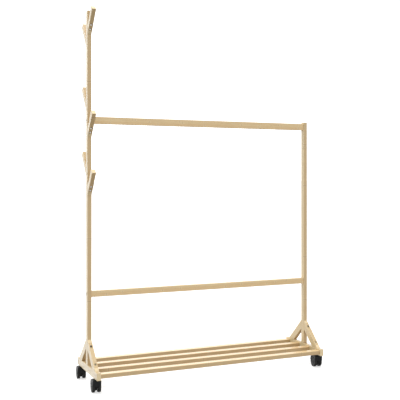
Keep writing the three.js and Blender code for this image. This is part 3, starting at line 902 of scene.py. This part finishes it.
def add_caster(end, side):
    """One caster about the places of its joints: the stem's and the two wheels' axes."""
    name = f"caster_{end}_{side}"
    joints = {joint["name"]: joint for joint in frame["joints"]}
    rolls = [joints[f"{name}_wheel_{wheel}_roll"] for wheel in "ab"]
    stem = np.array(joints[name + "_swivel_turn"]["pos_m"])
    origin = (np.array(rolls[0]["pos_m"]) + np.array(rolls[1]["pos_m"])) / 2
    across = np.array(rolls[0]["axis"], float)
    axes = np.array([across, np.cross(Z, across), Z])
    socket = np.array([stem[0], stem[1], origin[2]])

    fender = new_object(name + "_fender", [fender_skin(origin, axes)])
    drill(fender, [(socket + Z * (HOOD_INNER - 8 * MM), Z, STEM_HOLE + 0.2 * MM, 0.0)])
    shell = skins_of(fender)
    bpy.data.objects.remove(fender)
    boss = boss_skin(socket, UPRIGHT)
    hood = new_object(name + "_fork", [shell, web_skin(origin, axes), boss])
    swivel = name + "_swivel"
    complete(hood, swivel, FINISHES["hood_plastic"], origin, axes, [name + "_hood"])

    tip, rim, chamfer = AXLE_HALF_LENGTH, AXLE_RADIUS, 0.5 * MM
    pin = [[0.4 * MM, -tip], [rim - chamfer, -tip], [rim, -tip + chamfer], [rim, tip - chamfer],
           [rim - chamfer, tip], [0.4 * MM, tip]]
    pin_axes = np.array([axes[1], axes[2], axes[0]])
    axle = new_object(name + "_pin", [turned(pin, origin, pin_axes, 40)])
    complete(axle, swivel, FINISHES["stem_steel"], origin, pin_axes, [name + "_axle"])

    for wheel, way in (("a", 1), ("b", -1)):
        tyre = new_object(f"{name}_roller_{wheel}", [wheel_skin(origin, axes, way)])
        body = f"{name}_wheel_{wheel}"
        complete(tyre, body, FINISHES["wheel_plastic"], origin, axes, [body])

    beam_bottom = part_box("foot_beam_" + side)[0][2]
    stud = new_object(name + "_stud", [stem_skin(name + "_stem", stem, beam_bottom)])
    base = np.array([stem[0], stem[1], 0.0])
    complete(stud, "rack_frame", FINISHES["stem_steel"], base, UPRIGHT, [name + "_stem"])


def skins_of(piece):
    """A piece's points and faces, to be joined with other skins."""
    mesh = piece.data
    points = np.empty(len(mesh.vertices) * 3)
    mesh.vertices.foreach_get("co", points)
    return points.reshape(-1, 3), [list(face.vertices) for face in mesh.polygons]


for end_name in ENDS:
    for side_name in SIDES:
        add_caster(end_name, side_name)


# ---- Floor, light and camera ----

SKY_ABOVE = 1.14
SKY_BELOW = 0.24
DIMMING = (-0.65, -0.12)
SIDE_DIMMING = 0.6
SIDE_EDGE = (0.50, 0.85)
WINDOW_GLOW = 0.9
WINDOW_DIRECTION = (0.0, 1.0, 0.0)
WINDOW_EDGE = (0.70, 0.96)
FLOOR_GLOW = 0.5
FLOOR_GREY = 0.8
FLOOR_HALF_SIZE = 400.0
CEILING_PLACE = (-1.2, 0.2, 8.0)
CEILING_TARGET = (0, 0, 0.5)
CEILING_SIZE = 3.5
CEILING_POWER = 250
CAMERA_PLACE = (-1.5485, -3.4666, 0.981)
CAMERA_TURN = math.radians(-23.82)
CAMERA_LENS = 67.216
CAMERA_SENSOR = 36.0
CAMERA_SHIFT = -0.0509


def add_floor():
    """A wide pale floor, level with the wheels' lowest points. It glows a little, like a light table, and
    the light that it would throw back comes from the lower half of the sky instead."""
    half = FLOOR_HALF_SIZE
    corners = [(-half, -half, 0), (half, -half, 0), (half, half, 0), (-half, half, 0)]
    mesh = bpy.data.meshes.new("floor")
    mesh.from_pydata(corners, [], [(0, 1, 2, 3)])
    floor = bpy.data.objects.new("floor", mesh)
    floor.visible_diffuse = False
    floor.visible_glossy = False
    floor.visible_shadow = False
    bpy.context.scene.collection.objects.link(floor)
    material = bpy.data.materials.new("pale_floor")
    material.use_nodes = True
    surface = material.node_tree.nodes["Principled BSDF"]
    surface.inputs["Base Color"].default_value = (FLOOR_GREY, FLOOR_GREY, FLOOR_GREY, 1)
    surface.inputs["Roughness"].default_value = 0.9
    surface.inputs["Emission Color"].default_value = (1, 1, 1, 1)
    surface.inputs["Emission Strength"].default_value = FLOOR_GLOW
    mesh.materials.append(material)


def add_area_light(name, place, target, size, power):
    """A square soft light at a place, facing a target."""
    light = bpy.data.lights.new(name, "AREA")
    light.size = size
    light.energy = power
    made = bpy.data.objects.new(name, light)
    made.location = place
    aim = Matrix(axes_about(np.array(place) - np.array(target)).tolist()).transposed()
    made.rotation_euler = aim.to_euler()
    bpy.context.scene.collection.objects.link(made)


def add_camera():
    """A level camera in front and to the left, with a small downward shift of its frame."""
    data = bpy.data.cameras.new("camera")
    data.sensor_width = CAMERA_SENSOR
    data.lens = CAMERA_LENS
    data.shift_y = CAMERA_SHIFT
    camera = bpy.data.objects.new("camera", data)
    camera.location = CAMERA_PLACE
    camera.rotation_euler = (math.pi / 2, 0, CAMERA_TURN)
    bpy.context.scene.collection.objects.link(camera)
    bpy.context.scene.camera = camera


def add_sky():
    """Even white light from all round that dims towards straight down and to both sides, and a brighter
    patch low behind the rack, like a large window."""
    world = bpy.data.worlds.new("studio")
    world.use_nodes = True
    tree = world.node_tree
    way = Signal(tree.nodes.new("ShaderNodeTexCoord").outputs["Generated"])
    towards = way.node("VectorMath", {"operation": "DOT_PRODUCT"}, {0: way, 1: WINDOW_DIRECTION}, "Value")
    aside, _, height = way.parts()
    level = height.rise(*DIMMING) * (SKY_ABOVE - SKY_BELOW) + SKY_BELOW
    level = level * (1 - abs(aside).rise(*SIDE_EDGE) * SIDE_DIMMING)
    level = level + towards.rise(*WINDOW_EDGE) * WINDOW_GLOW
    background = tree.nodes["Background"]
    background.inputs["Color"].default_value = (1, 1, 1, 1)
    tree.links.new(level.socket, background.inputs["Strength"])
    bpy.context.scene.world = world


add_floor()
add_sky()
add_area_light("ceiling", CEILING_PLACE, CEILING_TARGET, CEILING_SIZE, CEILING_POWER)
add_camera()
bpy.context.scene.view_settings.view_transform = "Standard"
